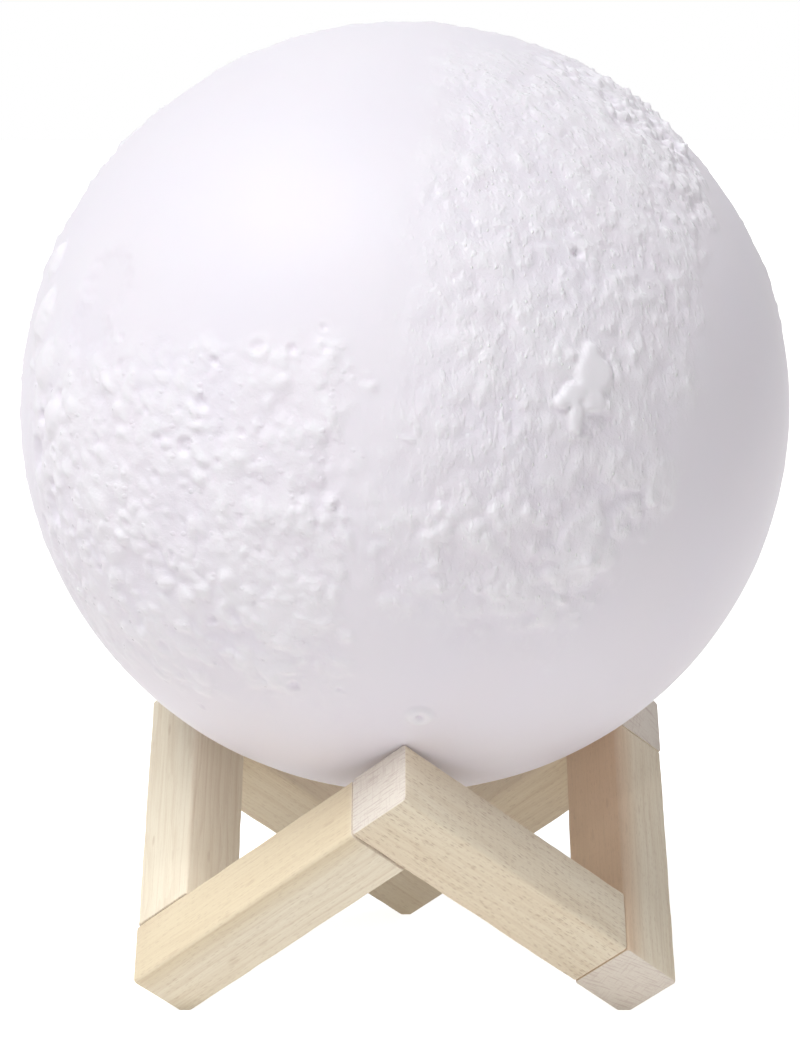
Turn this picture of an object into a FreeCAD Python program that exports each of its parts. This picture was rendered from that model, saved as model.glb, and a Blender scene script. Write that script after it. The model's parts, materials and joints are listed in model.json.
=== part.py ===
"""Moon lamp: a moulded moon globe with its light unit, resting on a cradle of six beech bars.

Millimetres, +Z up. The origin is on the ground below the globe's centre and the front is -Y.
The cradle is the zigzag round a cube that stands on one corner. The cube's three edge directions
are u (to the right), v (to the left) and w (to the back), and all three rise at 35.26 degrees.
"""
import FreeCAD, Part
import math
import os
import Sketcher
from FreeCAD import Placement, Rotation, Vector

SIZES = {
    # globe
    "globe_diameter": 150.0,
    "shell_wall": 2.0,
    "opening_diameter": 38.0,
    "collar_wall": 2.0,
    "collar_height": 12.5,
    # cradle
    "bar_width": 14.0,
    "bar_length": 60.0,
    "bar_chamfer": 0.6,
    "foot_flat_depth": 1.2,
    "cradle_gap": 0.2,
    "dowel_diameter": 5.0,
    "dowel_in_end": 9.0,
    "dowel_in_side": 7.0,
    # light unit in the globe's opening
    "unit_gap": 0.2,
    "cover_thickness": 2.0,
    "flange_thickness": 1.4,
    "flange_width": 2.0,
    "seal_thickness": 0.8,
    "housing_wall": 1.5,
    "screw_diameter": 2.0,
    "screw_head_diameter": 3.6,
    "boss_diameter": 4.4,
    "boss_height": 8.5,
    "boss_bite": 0.1,
    "snap_height": 2.8,
    "snap_depth": 0.9,
    "button_diameter": 14.0,
    "button_recess": 0.4,
    "button_travel": 1.2,
    "button_flange_width": 1.5,
    "button_flange_thickness": 0.8,
    "plunger_diameter": 3.3,
    "switch_width": 8.5,
    "switch_height": 5.0,
    "board_thickness": 1.6,
    "socket_clearance": 0.6,
    "socket_width": 7.8,
    "socket_depth": 3.0,
    "socket_wall": 0.35,
    "tongue_width": 4.6,
    "tongue_thickness": 0.7,
    "tongue_length": 5.0,
    "indicator_diameter": 2.4,
    "battery_width": 24.0,
    "battery_depth": 9.0,
    "battery_height": 20.0,
    "battery_clearance": 2.3,
    "pad_thickness": 1.0,
    "post_height": 22.0,
    "post_diameter": 17.6,
    "post_wall": 1.2,
    "post_flange_diameter": 26.0,
    "post_plate_thickness": 1.6,
    "diffuser_wall": 1.2,
    "diffuser_height": 12.0,
    "light_board_diameter": 26.0,
    "led_circle": 17.0,
    "led_count": 8.0,
    "led_side": 3.0,
    "led_height": 0.8,
    "wire_diameter": 1.2,
    "wire_spacing": 1.6,
    "wire_clearance": 0.5,
    "battery_lead_spacing": 12.0,
    "pad_margin": 1.5,
    "plunger_inside": 1.5,
    "chip_width": 5.0,
    "chip_depth": 4.0,
    "chip_height": 1.6,
    "chip_offset": 4.5,
    "charger_width": 3.0,
    "charger_height": 1.0,
    "capacitor_width": 1.6,
    "capacitor_depth": 2.0,
    "capacitor_height": 1.2,
    "capacitor_spacing": 2.5,
    "capacitor_offset": 8.0,
    # relief of the globe
    "mark_diameter": 5.5,
    "mark_height": 0.5,
    "pinhole_diameter": 1.2,
    "pinhole_depth": 1.2,
}

SQRT3 = math.sqrt(3.0)

document = FreeCAD.newDocument("moon_lamp")
sheet = document.addObject("Spreadsheet::Sheet", "Sizes")
for row, (alias, number) in enumerate(SIZES.items(), start=1):
    sheet.set("A%d" % row, alias)
    sheet.set("B%d" % row, str(number))
    sheet.setAlias("B%d" % row, alias)
document.recompute()


class Size:
    """A length that knows both its value and the expression that binds it to the sheet."""

    def __init__(self, value, text):
        self.value = float(value)
        self.text = text

    def __add__(self, other):
        other = size(other)
        return Size(self.value + other.value, "(%s + %s)" % (self.text, other.text))

    def __sub__(self, other):
        other = size(other)
        return Size(self.value - other.value, "(%s - %s)" % (self.text, other.text))

    def __mul__(self, other):
        other = size(other)
        return Size(self.value * other.value, "(%s * %s)" % (self.text, other.text))

    def __truediv__(self, other):
        other = size(other)
        return Size(self.value / other.value, "(%s / %s)" % (self.text, other.text))

    def __neg__(self):
        return Size(-self.value, "(0 - %s)" % self.text)


def size(number):
    """A plain number as a Size; a Size stays as it is."""
    return number if isinstance(number, Size) else Size(number, repr(float(number)))


def given(alias):
    """A driving dimension, read from the sheet."""
    return Size(sheet.get(alias), "Sizes." + alias)


def root(number):
    return Size(math.sqrt(number.value), "sqrt(%s)" % number.text)


def square(number):
    return number * number


# ---------------------------------------------------------------- sketches and features


def body_of(label):
    body = document.addObject("PartDesign::Body", label)
    body.Label = label
    return body


def origin_plane(body, role):
    return next(item for item in body.Origin.OriginFeatures if item.Role == role)


def sketch_on(body, role, label, offset=0.0):
    """A sketch on one of the body's own origin planes, moved along the plane's normal."""
    sketch = body.newObject("Sketcher::SketchObject", label)
    sketch.AttachmentSupport = [(origin_plane(body, role), "")]
    sketch.MapMode = "FlatFace"
    offset = size(offset)
    sketch.AttachmentOffset = Placement(Vector(0, 0, offset.value), Rotation())
    sketch.setExpression("AttachmentOffset.Base.z", offset.text)
    return sketch


def fix_coordinate(sketch, kind, edge, point, length):
    """Ties one coordinate of a sketch point to the origin by a bound dimension."""
    axis = -2 if kind == "DistanceX" else -1
    if length.value == 0.0:
        sketch.addConstraint(Sketcher.Constraint("PointOnObject", edge, point, axis))
        return
    index = sketch.addConstraint(Sketcher.Constraint(kind, -1, 1, edge, point, length.value))
    sketch.setExpression("Constraints[%d]" % index, length.text)


def draw_outline(sketch, corners):
    """A closed outline of straight edges through the corners."""
    points = [(size(x), size(y)) for x, y in corners]
    places = [Vector(x.value, y.value, 0) for x, y in points]
    edges = [sketch.addGeometry(Part.LineSegment(start, stop))
             for start, stop in zip(places, places[1:] + places[:1])]
    for edge, following in zip(edges, edges[1:] + edges[:1]):
        sketch.addConstraint(Sketcher.Constraint("Coincident", edge, 2, following, 1))
    for edge, (x, y) in zip(edges, points):
        fix_coordinate(sketch, "DistanceX", edge, 1, x)
        fix_coordinate(sketch, "DistanceY", edge, 1, y)


def draw_circle(sketch, diameter, x=0.0, y=0.0):
    diameter, x, y = size(diameter), size(x), size(y)
    circle = Part.Circle(Vector(x.value, y.value, 0), Vector(0, 0, 1), diameter.value / 2)
    edge = sketch.addGeometry(circle)
    number = sketch.addConstraint(Sketcher.Constraint("Diameter", edge, diameter.value))
    sketch.setExpression("Constraints[%d]" % number, diameter.text)
    fix_coordinate(sketch, "DistanceX", edge, 3, x)
    fix_coordinate(sketch, "DistanceY", edge, 3, y)


def draw_rectangle(sketch, width, depth, x=0.0, y=0.0):
    x, y, half_width, half_depth = size(x), size(y), size(width) / 2, size(depth) / 2
    draw_outline(sketch, [
        (x - half_width, y - half_depth),
        (x + half_width, y - half_depth),
        (x + half_width, y + half_depth),
        (x - half_width, y + half_depth),
    ])


def pad(body, sketch, length, label):
    feature = body.newObject("PartDesign::Pad", label)
    feature.Profile = sketch
    feature.Length = size(length).value
    feature.setExpression("Length", size(length).text)
    return feature


def pocket(body, sketch, length, label, upwards=False):
    """Cuts against the sketch's normal, or along it where upwards is true."""
    feature = body.newObject("PartDesign::Pocket", label)
    feature.Profile = sketch
    feature.Length = size(length).value
    feature.setExpression("Length", size(length).text)
    feature.Reversed = upwards
    return feature


def revolve(body, sketch, label, kind="PartDesign::Revolution", angle=360.0):
    feature = body.newObject(kind, label)
    feature.Profile = sketch
    feature.ReferenceAxis = (sketch, ["V_Axis"])
    feature.Angle = angle
    feature.Midplane = angle < 360.0
    return feature


def turned(label, corners):
    """A body turned from a half section: x is the radius and y the height."""
    body = body_of(label)
    sketch = sketch_on(body, "XZ_Plane", label + "_section")
    draw_outline(sketch, corners)
    revolve(body, sketch, label + "_turned")
    return body


def ring_of(body, feature, count, label):
    """Repeats a feature round the body's vertical axis."""
    pattern = body.newObject("PartDesign::PolarPattern", label)
    pattern.Originals = [feature]
    axis = next(item for item in body.Origin.OriginFeatures if item.Role == "Z_Axis")
    pattern.Axis = (axis, [""])
    pattern.Angle = 360.0
    pattern.Occurrences = count
    body.Tip = pattern
    return pattern


def raise_by(item, height):
    """Lifts a piece that is modelled about the globe's centre."""
    item.setExpression("Placement.Base.z", height.text)
    item.Placement.Base.z = height.value


def on_circle(diameter, degrees):
    """A point on a circle about the vertical axis."""
    angle = math.radians(degrees)
    return diameter / 2 * round(math.cos(angle), 9), diameter / 2 * round(math.sin(angle), 9)


# ---------------------------------------------------------------- places shared by several pieces

globe_radius = given("globe_diameter") / 2
inner_radius = globe_radius - given("shell_wall")
bar_width = given("bar_width")
bar_length = given("bar_length")
bar_chamfer = given("bar_chamfer")

# The cube that the cradle is the zigzag of, and the height of its lowest corner's level.
cube_side = bar_length + bar_width
ground = bar_length / SQRT3 + given("foot_flat_depth")

# The globe rests on three bar corners, which in cube coordinates lie at (seat, seat, bar_width)
# and its turns. Its centre lies on the cube's diagonal, at the same distance from all three.
seat = cube_side - bar_chamfer
seat_reach = globe_radius + given("cradle_gap")
seat_sum = seat * 4 + bar_width * 2
seat_rest = square(seat) * 2 + square(bar_width) - square(seat_reach)
centre_along = (seat_sum + root(square(seat_sum) - seat_rest * 12)) / 6
globe_height = centre_along * SQRT3 - ground

# Heights and radii of the light unit, from the globe's centre.
opening_radius = given("opening_diameter") / 2
unit_radius = opening_radius - given("unit_gap")
collar_bore = opening_radius - given("flange_width")
housing_radius = collar_bore - given("unit_gap")
cavity_radius = housing_radius - given("housing_wall")
face_level = -root(square(globe_radius) - square(opening_radius))
cover_top = face_level + given("cover_thickness")
flange_top = cover_top + given("flange_thickness")
seat_level = flange_top + given("seal_thickness")
collar_top = face_level + given("collar_height")
board_bottom = cover_top + given("boss_height")
board_top = board_bottom + given("board_thickness")
battery_foot = board_top + given("chip_height") + given("battery_clearance")
deck_bottom = battery_foot + given("battery_height") + given("pad_thickness")
deck_top = deck_bottom + given("housing_wall")
post_top = deck_top + given("post_height")
light_board_top = post_top + given("board_thickness")
light_board_radius = given("light_board_diameter") / 2

# The bosses run into the housing's wall, and the socket's outer corners stay clear of it. The
# wires to the light board rise beside the battery.
screw_circle = (cavity_radius + given("boss_bite")) * 2 - given("boss_diameter")
socket_reach = cavity_radius - given("socket_clearance")
socket_edge = root(square(socket_reach) - square(given("socket_width") / 2))
socket_radius = socket_edge - given("socket_depth") / 2
wire_offset = (given("battery_depth") + given("wire_diameter")) / 2 + given("wire_clearance")

FIT_GAP = 0.2
THREAD_GAP = 0.05
EASE = 0.4

# The diffuser stands on a ledge round the post's head plate.
head_plate_radius = light_board_radius + FIT_GAP
ledge_level = post_top - given("post_plate_thickness") / 2
diffuser_bore = head_plate_radius + THREAD_GAP * 2
diffuser_radius = diffuser_bore + given("diffuser_wall")

SCREW_ANGLES = (90.0, 210.0, 330.0)
BOARD_SCREW_ANGLES = SCREW_ANGLES[1:]
LIGHT_SCREW_ANGLES = (0.0, 180.0)
SOCKET_ANGLE = 270.0
INDICATOR_ANGLE = 150.0
SNAP_ANGLE = 24.0
SNAP_COUNT = 3
INNER_RINGS = 10

# A screw's cross recess, as shares of the head's radius and of its depth.
CROSS_ARM_SHARE = 0.6
CROSS_SLIT_SHARE = 0.12
CROSS_DEPTH_SHARE = 0.7

pieces = []


# ---------------------------------------------------------------- cradle

CUBE_U = Vector(math.sqrt(0.5), -math.sqrt(1 / 6), 1 / SQRT3)
CUBE_V = Vector(-math.sqrt(0.5), -math.sqrt(1 / 6), 1 / SQRT3)
CUBE_W = Vector(0.0, math.sqrt(2 / 3), 1 / SQRT3)


def place_in_cube(item, corner, along, facing):
    """Puts an item's origin at a cube point, its X along one cube edge and its Y along another."""
    u, v, w = corner
    across = along.cross(facing)
    turn = FreeCAD.Matrix(
        along.x, facing.x, across.x, 0,
        along.y, facing.y, across.y, 0,
        along.z, facing.z, across.z, 0,
        0, 0, 0, 1)
    x = (u - v) * math.sqrt(0.5)
    y = (w * 2 - u - v) * math.sqrt(1 / 6)
    z = (u + v + w) / SQRT3 - ground
    item.Placement = Placement(Vector(x.value, y.value, z.value), Rotation(turn))
    for axis, length in (("x", x), ("y", y), ("z", z)):
        item.setExpression("Placement.Base." + axis, length.text)


def bar(label):
    """One square bar: it butts its neighbour at X = 0 and takes the other neighbour near its far end.

    Both joints hold a dowel: one in the end grain, one in the side that faces +Y.
    """
    body = body_of(label)
    section = sketch_on(body, "YZ_Plane", label + "_section")
    draw_rectangle(section, bar_width, bar_width)
    stick = pad(body, section, bar_length, label + "_length")
    document.recompute()
    eased = body.newObject("PartDesign::Chamfer", label + "_eased")
    eased.Base = (stick, [""])
    eased.UseAllEdges = True
    eased.Size = bar_chamfer.value
    eased.setExpression("Size", bar_chamfer.text)
    hole = given("dowel_diameter") + THREAD_GAP * 2
    end = sketch_on(body, "YZ_Plane", label + "_end_hole_place")
    draw_circle(end, hole)
    pocket(body, end, given("dowel_in_end") + EASE, label + "_end_hole", upwards=True)
    side = sketch_on(body, "XZ_Plane", label + "_side_hole_place", -(bar_width / 2))
    draw_circle(side, hole, bar_length - bar_width / 2)
    pocket(body, side, given("dowel_in_side") + EASE, label + "_side_hole", upwards=True)
    return body


def cradle_bars():
    """Each pair of bars is the last one turned by a third about the vertical axis."""
    names = (
        ("stand_bar_front_left", "stand_bar_front_right"),
        ("stand_bar_right", "stand_bar_back_right"),
        ("stand_bar_back_left", "stand_bar_left"),
    )
    low_corner = (bar_length, cube_side - bar_width / 2, bar_width / 2)
    high_corner = (cube_side - bar_width / 2, bar_width, bar_width / 2)
    edges = (CUBE_U, CUBE_V, CUBE_W)
    ground_block = document.addObject("Part::Box", "ground_block")
    for side in ("Length", "Width"):
        ground_block.setExpression(side, (cube_side * 2).text)
    ground_block.setExpression("Height", bar_width.text)
    for axis in ("x", "y"):
        ground_block.setExpression("Placement.Base." + axis, (-cube_side).text)
    ground_block.setExpression("Placement.Base.z", (-bar_width).text)
    for low_name, high_name in names:
        u, v, w = edges
        foot_bar = bar(low_name + "_stick")
        place_in_cube(foot_bar, low_corner, -u, w)
        foot = document.addObject("Part::Cut", low_name)
        foot.Base = foot_bar
        foot.Tool = ground_block
        pieces.append(foot)
        dowels.append(dowel(low_name + "_dowel", low_corner, -u, w))
        rest_bar = bar(high_name)
        place_in_cube(rest_bar, high_corner, v, -u)
        pieces.append(rest_bar)
        dowels.append(dowel(high_name + "_dowel", high_corner, v, -u))
        low_corner = (low_corner[1], low_corner[2], low_corner[0])
        high_corner = (high_corner[1], high_corner[2], high_corner[0])
        edges = (edges[2], edges[0], edges[1])


def dowel(label, corner, along, facing):
    """A beech dowel, half in the end of one bar and half in the side of the next."""
    body = body_of(label)
    section = sketch_on(body, "YZ_Plane", label + "_section", -given("dowel_in_side"))
    draw_circle(section, given("dowel_diameter"))
    pad(body, section, given("dowel_in_side") + given("dowel_in_end"), label + "_length")
    place_in_cube(body, corner, along, facing)
    return body


dowels = []
cradle_bars()
stand_dowels = document.addObject("Part::Compound", "stand_dowels")
stand_dowels.Links = dowels
pieces.append(stand_dowels)


# ---------------------------------------------------------------- globe

# Main relief of the moulded surface. Each feature: azimuth and latitude in degrees, its radius,
# and its height, which is negative for a hollow. Azimuth -90 is the front.
RELIEF = {
    "massif_crest": (-63.8, 10.5, 4.2, 0.8),
    "massif_north": (-64.0, 14.0, 3.0, 0.6),
    "front_bump": (-77.1, -17.1, 1.8, 0.4),
    "west_basin": (-147.0, 14.5, 9.0, -0.7),
    "west_ridge": (-158.0, 12.0, 5.0, 0.5),
    "west_dish": (-124.9, -10.5, 5.0, -0.5),
    "highland_north": (-112.6, 12.3, 3.6, -0.5),
    "highland_middle": (-104.9, 3.2, 2.6, 0.5),
    "highland_west": (-132.3, 0.2, 4.0, -0.5),
    "back_basin": (70.0, 25.0, 12.0, -0.6),
    "back_crater": (115.0, -12.0, 7.0, -0.6),
    "back_hill": (20.0, 5.0, 5.0, 0.6),
}
MARK_AZIMUTH = -87.4
MARK_LATITUDE = -42.1


def direction(azimuth, latitude):
    turn, tilt = math.radians(azimuth), math.radians(latitude)
    return Vector(math.cos(tilt) * math.cos(turn), math.cos(tilt) * math.sin(turn), math.sin(tilt))


def put_out(item, heading, reach):
    """Places an item along a heading from the globe's centre, its Z axis pointing outwards."""
    item.Placement = Placement(heading * reach.value, Rotation(Vector(0, 0, 1), heading))
    for axis, share in (("x", heading.x), ("y", heading.y), ("z", heading.z)):
        item.setExpression("Placement.Base." + axis, (reach * share).text)


def relief_ball(name, azimuth, latitude, radius, height):
    """A ball that stands out of the globe, or bites into it, by a shallow cap."""
    ball = document.addObject("Part::Sphere", name)
    ball_radius = (radius * radius + height * height) / (2 * abs(height))
    ball.Radius = ball_radius
    lift = height - ball_radius if height > 0 else height + ball_radius
    put_out(ball, direction(azimuth, latitude), globe_radius + lift)
    return ball


def stub(name, diameter, low, high):
    """A round stub along the mark's axis, between two distances from the globe's centre."""
    pin = document.addObject("Part::Cylinder", name)
    pin.setExpression("Radius", (diameter / 2).text)
    pin.setExpression("Height", (high - low).text)
    put_out(pin, direction(MARK_AZIMUTH, MARK_LATITUDE), low)
    return pin


def globe_cavity():
    """The space inside the shell, with the collar that takes the light unit and the flange's seat.

    The inner wall is a stack of short cones through points of the inner sphere, so the wall has
    its given thickness at each ring and up to 0.8 mm more between two rings.
    """
    collar_radius = opening_radius + given("collar_wall")
    collar_meets_shell = -root(square(inner_radius) - square(collar_radius))
    below = -(globe_radius + given("shell_wall"))
    last_tilt = math.pi - math.asin(collar_radius.value / inner_radius.value)
    tilts = [last_tilt * step / INNER_RINGS for step in range(1, INNER_RINGS)]
    rings = [(inner_radius * math.sin(tilt), inner_radius * math.cos(tilt)) for tilt in tilts]
    return turned("globe_cavity", [
        (0, inner_radius),
        *rings,
        (collar_radius, collar_meets_shell),
        (collar_radius, collar_top),
        (collar_bore, collar_top),
        (collar_bore, seat_level),
        (opening_radius, seat_level),
        (opening_radius, below),
        (0, below),
    ])


def globe_shell():
    ball = document.addObject("Part::Sphere", "globe_ball")
    ball.setExpression("Radius", globe_radius.text)
    mark_top = globe_radius + given("mark_height")
    mark = stub("moulded_mark", given("mark_diameter"), inner_radius, mark_top)
    pinhole = stub("pinhole", given("pinhole_diameter"), mark_top - given("pinhole_depth"),
                   mark_top + given("pinhole_depth"))
    hills = [relief_ball(name, *shape) for name, shape in RELIEF.items() if shape[3] > 0]
    hollows = [relief_ball(name, *shape) for name, shape in RELIEF.items() if shape[3] < 0]
    outside = document.addObject("Part::MultiFuse", "globe_outside")
    outside.Shapes = [ball, mark] + hills
    removed = document.addObject("Part::MultiFuse", "globe_removed")
    removed.Shapes = [globe_cavity(), pinhole]
    hollowed = document.addObject("Part::Cut", "globe_hollowed")
    hollowed.Base = outside
    hollowed.Tool = removed
    bites = document.addObject("Part::Compound", "globe_bites")
    bites.Links = hollows
    shell = document.addObject("Part::Cut", "globe_shell")
    shell.Base = hollowed
    shell.Tool = bites
    raise_by(shell, globe_height)
    pieces.append(shell)


# ---------------------------------------------------------------- light unit


def keep(item):
    """Adds a piece of the light unit, which is modelled about the globe's centre."""
    raise_by(item, globe_height)
    pieces.append(item)
    return item


def drill(body, diameter, places, level, depth, label):
    """Round holes upwards from a level."""
    sketch = sketch_on(body, "XY_Plane", label + "_places", level)
    for x, y in places:
        draw_circle(sketch, diameter, x, y)
    pocket(body, sketch, depth, label, upwards=True)


def base_housing():
    """The cup that plugs into the collar, with its flange, screw bosses and snap noses."""
    label = "base_housing"
    screw_places = [on_circle(screw_circle, angle) for angle in SCREW_ANGLES]
    body = turned(label, [
        (unit_radius, cover_top),
        (unit_radius, flange_top),
        (housing_radius, flange_top),
        (housing_radius, deck_top),
        (0, deck_top),
        (0, deck_bottom),
        (cavity_radius, deck_bottom),
        (cavity_radius, cover_top),
    ])
    bosses = sketch_on(body, "XY_Plane", label + "_boss_places", cover_top)
    for x, y in screw_places:
        draw_circle(bosses, given("boss_diameter"), x, y)
    pad(body, bosses, given("boss_height"), label + "_bosses")
    nose_foot = collar_top + FIT_GAP
    nose = sketch_on(body, "XZ_Plane", label + "_nose_section")
    draw_outline(nose, [
        (housing_radius - given("housing_wall") / 2, nose_foot),
        (housing_radius + given("snap_depth"), nose_foot),
        (housing_radius, nose_foot + given("snap_height")),
        (housing_radius - given("housing_wall") / 2, nose_foot + given("snap_height")),
    ])
    snap = revolve(body, nose, label + "_nose", angle=SNAP_ANGLE)
    ring_of(body, snap, SNAP_COUNT, label + "_noses")
    drill(body, given("screw_diameter") - THREAD_GAP * 2, screw_places, cover_top,
          given("boss_height"), label + "_pilot_holes")
    drill(body, wire_passage, [(0, wire_offset)], deck_bottom, given("housing_wall"),
          label + "_wire_hole")
    light_places = [on_circle(post_screw_circle, angle) for angle in LIGHT_SCREW_ANGLES]
    drill(body, given("screw_diameter") - THREAD_GAP * 2, light_places, deck_bottom,
          given("housing_wall"), label + "_post_holes")
    return keep(body)


def base_cover():
    """The round bottom plate: a flat face for the globe to stand on, and the openings in it."""
    label = "base_cover"
    body = turned(label, [
        (0, face_level),
        (unit_radius - EASE, face_level),
        (unit_radius, face_level + EASE),
        (unit_radius, cover_top),
        (0, cover_top),
    ])
    drill(body, given("button_diameter") + FIT_GAP * 2, [(0, 0)], face_level,
          given("cover_thickness"), label + "_button_hole")
    screw_places = [on_circle(screw_circle, angle) for angle in SCREW_ANGLES]
    drill(body, given("screw_diameter") + FIT_GAP, screw_places, face_level,
          given("cover_thickness"), label + "_screw_holes")
    drill(body, given("screw_head_diameter") + FIT_GAP, screw_places, face_level,
          screw_head_depth + FIT_GAP, label + "_head_recesses")
    drill(body, given("indicator_diameter") + THREAD_GAP * 2,
          [on_circle(socket_radius * 2, INDICATOR_ANGLE)], face_level,
          given("cover_thickness"), label + "_indicator_hole")
    x, y = on_circle(socket_radius * 2, SOCKET_ANGLE)
    slot = sketch_on(body, "XY_Plane", label + "_socket_place", face_level)
    draw_rectangle(slot, given("socket_width") + FIT_GAP * 2, given("socket_depth") + FIT_GAP * 2,
                   x, y)
    pocket(body, slot, given("cover_thickness"), label + "_socket_hole", upwards=True)
    return keep(body)


def screw(label, x, y, head_level, length, upwards):
    """A cross-head screw: a low round head on a plain shank. Its threads are left to the finish."""
    way = 1.0 if upwards else -1.0
    head_radius = given("screw_head_diameter") / 2
    shank_radius = given("screw_diameter") / 2 - THREAD_GAP * 2
    neck = screw_head_depth
    arm = head_radius * CROSS_ARM_SHARE
    slit = head_radius * CROSS_SLIT_SHARE
    body = turned(label, [
        (0, 0),
        (head_radius, 0),
        (head_radius, neck * way),
        (shank_radius, neck * way),
        (shank_radius, (neck + length) * way),
        (0, (neck + length) * way),
    ])
    cross = sketch_on(body, "XY_Plane", label + "_cross")
    draw_outline(cross, [
        (slit, slit), (arm, slit), (arm, -slit), (slit, -slit), (slit, -arm), (-slit, -arm),
        (-slit, -slit), (-arm, -slit), (-arm, slit), (-slit, slit), (-slit, arm), (slit, arm),
    ])
    pocket(body, cross, neck * CROSS_DEPTH_SHARE, label + "_recess", upwards=upwards)
    body.setExpression("Placement.Base.x", size(x).text)
    body.setExpression("Placement.Base.y", size(y).text)
    body.Placement.Base = Vector(size(x).value, size(y).value, 0)
    raise_by(body, head_level)
    return body


def screws(label, circle, angles, head_level, length, upwards):
    """A group of like screws on one circle, as one piece."""
    group = document.addObject("Part::Compound", label)
    group.Links = [
        screw("%s_%d" % (label, number), *on_circle(circle, angle), head_level, length, upwards)
        for number, angle in enumerate(angles, start=1)
    ]
    return keep(group)


def flange_seal():
    """The soft ring between the housing's flange and its seat in the shell."""
    return keep(turned("flange_seal", [
        (collar_bore + FIT_GAP, flange_top),
        (unit_radius, flange_top),
        (unit_radius, seat_level),
        (collar_bore + FIT_GAP, seat_level),
    ]))


def power_button():
    """The cap that slides in the cover, held by its flange, with a hub that takes the plunger."""
    cap_radius = given("button_diameter") / 2
    flange_radius = cap_radius + given("button_flange_width")
    face = face_level + given("button_recess")
    flange_foot = cover_top + THREAD_GAP * 2
    flange_head = flange_foot + given("button_flange_thickness")
    hub_radius = given("plunger_diameter") / 2 + THREAD_GAP
    wall = given("button_flange_thickness")
    cap_inside = face + wall + EASE
    return keep(turned("power_button", [
        (0, face),
        (cap_radius - EASE, face),
        (cap_radius, face + EASE),
        (cap_radius, flange_foot),
        (flange_radius, flange_foot),
        (flange_radius, flange_head),
        (cap_radius - wall, flange_head),
        (cap_radius - wall, cap_inside),
        (hub_radius + wall, cap_inside),
        (hub_radius + wall, flange_head),
        (hub_radius, flange_head),
        (hub_radius, plunger_foot),
        (0, plunger_foot),
    ]))


def push_switch():
    """The switch under the board, with the bore that its plunger slides in."""
    label = "push_switch"
    body = body_of(label)
    side = given("switch_width")
    section = sketch_on(body, "XY_Plane", label + "_outline", board_bottom - given("switch_height"))
    draw_rectangle(section, side, side)
    pad(body, section, given("switch_height"), label + "_block")
    drill(body, given("plunger_diameter") + THREAD_GAP * 2, [(0, 0)],
          board_bottom - given("switch_height"), plunger_inside + given("button_travel") + FIT_GAP,
          label + "_bore")
    return keep(body)


def switch_plunger():
    label = "switch_plunger"
    body = body_of(label)
    section = sketch_on(body, "XY_Plane", label + "_section", plunger_foot)
    draw_circle(section, given("plunger_diameter"))
    rod_top = board_bottom - given("switch_height") + plunger_inside
    pad(body, section, rod_top - plunger_foot, label + "_rod")
    return keep(body)


def main_board():
    """The round control board on the three bosses."""
    label = "main_board"
    body = body_of(label)
    outline = sketch_on(body, "XY_Plane", label + "_outline", board_bottom)
    draw_circle(outline, (cavity_radius - FIT_GAP * 2) * 2)
    pad(body, outline, given("board_thickness"), label + "_plate")
    places = [on_circle(screw_circle, angle) for angle in BOARD_SCREW_ANGLES]
    drill(body, given("screw_diameter") + FIT_GAP, places, board_bottom, given("board_thickness"),
          label + "_screw_holes")
    return keep(body)


def block(label, width, depth, height, x, y, foot):
    """A rectangular component, centred on x and y, standing on a level of the light unit."""
    body = body_of(label)
    section = sketch_on(body, "XY_Plane", label + "_outline", foot)
    draw_rectangle(section, width, depth, x, y)
    pad(body, section, height, label + "_block")
    return body


def charging_socket():
    """The socket's metal mouth, open downwards in the cover's face, and the tongue in it."""
    label = "charging_socket"
    x, y = on_circle(socket_radius * 2, SOCKET_ANGLE)
    mouth = face_level + FIT_GAP * 2
    body = block(label, given("socket_width"), given("socket_depth"), board_bottom - mouth, x, y,
                 mouth)
    wall = given("socket_wall")
    hollow = sketch_on(body, "XY_Plane", label + "_hollow_place", mouth)
    draw_rectangle(hollow, given("socket_width") - wall * 2, given("socket_depth") - wall * 2, x, y)
    pocket(body, hollow, board_bottom - mouth - wall * 2, label + "_hollow", upwards=True)
    keep(body)
    root_level = board_bottom - wall * 2
    keep(block("socket_tongue", given("tongue_width"), given("tongue_thickness"),
               given("tongue_length"), x, y, root_level - given("tongue_length")))


def charge_indicator():
    """The light pipe from the cover's face up to the small lamp under the board."""
    x, y = on_circle(socket_radius * 2, INDICATOR_ANGLE)
    body = body_of("charge_indicator")
    section = sketch_on(body, "XY_Plane", "charge_indicator_section", face_level + FIT_GAP)
    draw_circle(section, given("indicator_diameter"), x, y)
    pipe_top = board_bottom - given("led_height") - FIT_GAP
    pad(body, section, pipe_top - (face_level + FIT_GAP), "charge_indicator_pipe")
    keep(body)
    lamp = given("led_height")
    keep(block("indicator_lamp", lamp * 2, lamp * 2, lamp, x, y, board_bottom - lamp))


def board_components():
    """What stands on the control board, below the battery."""
    offset = given("chip_offset")
    keep(block("control_chip", given("chip_width"), given("chip_depth"), given("chip_height"),
               offset, -offset, board_top))
    charger = given("charger_width")
    keep(block("charging_chip", charger, charger, given("charger_height"),
               -offset, -offset, board_top))
    group = document.addObject("Part::Compound", "board_capacitors")
    group.Links = [
        block("board_capacitor_%d" % number, given("capacitor_width"), given("capacitor_depth"),
              given("capacitor_height"), -(given("capacitor_spacing") * number),
              given("capacitor_offset"), board_top)
        for number in range(1, 4)
    ]
    keep(group)


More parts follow.
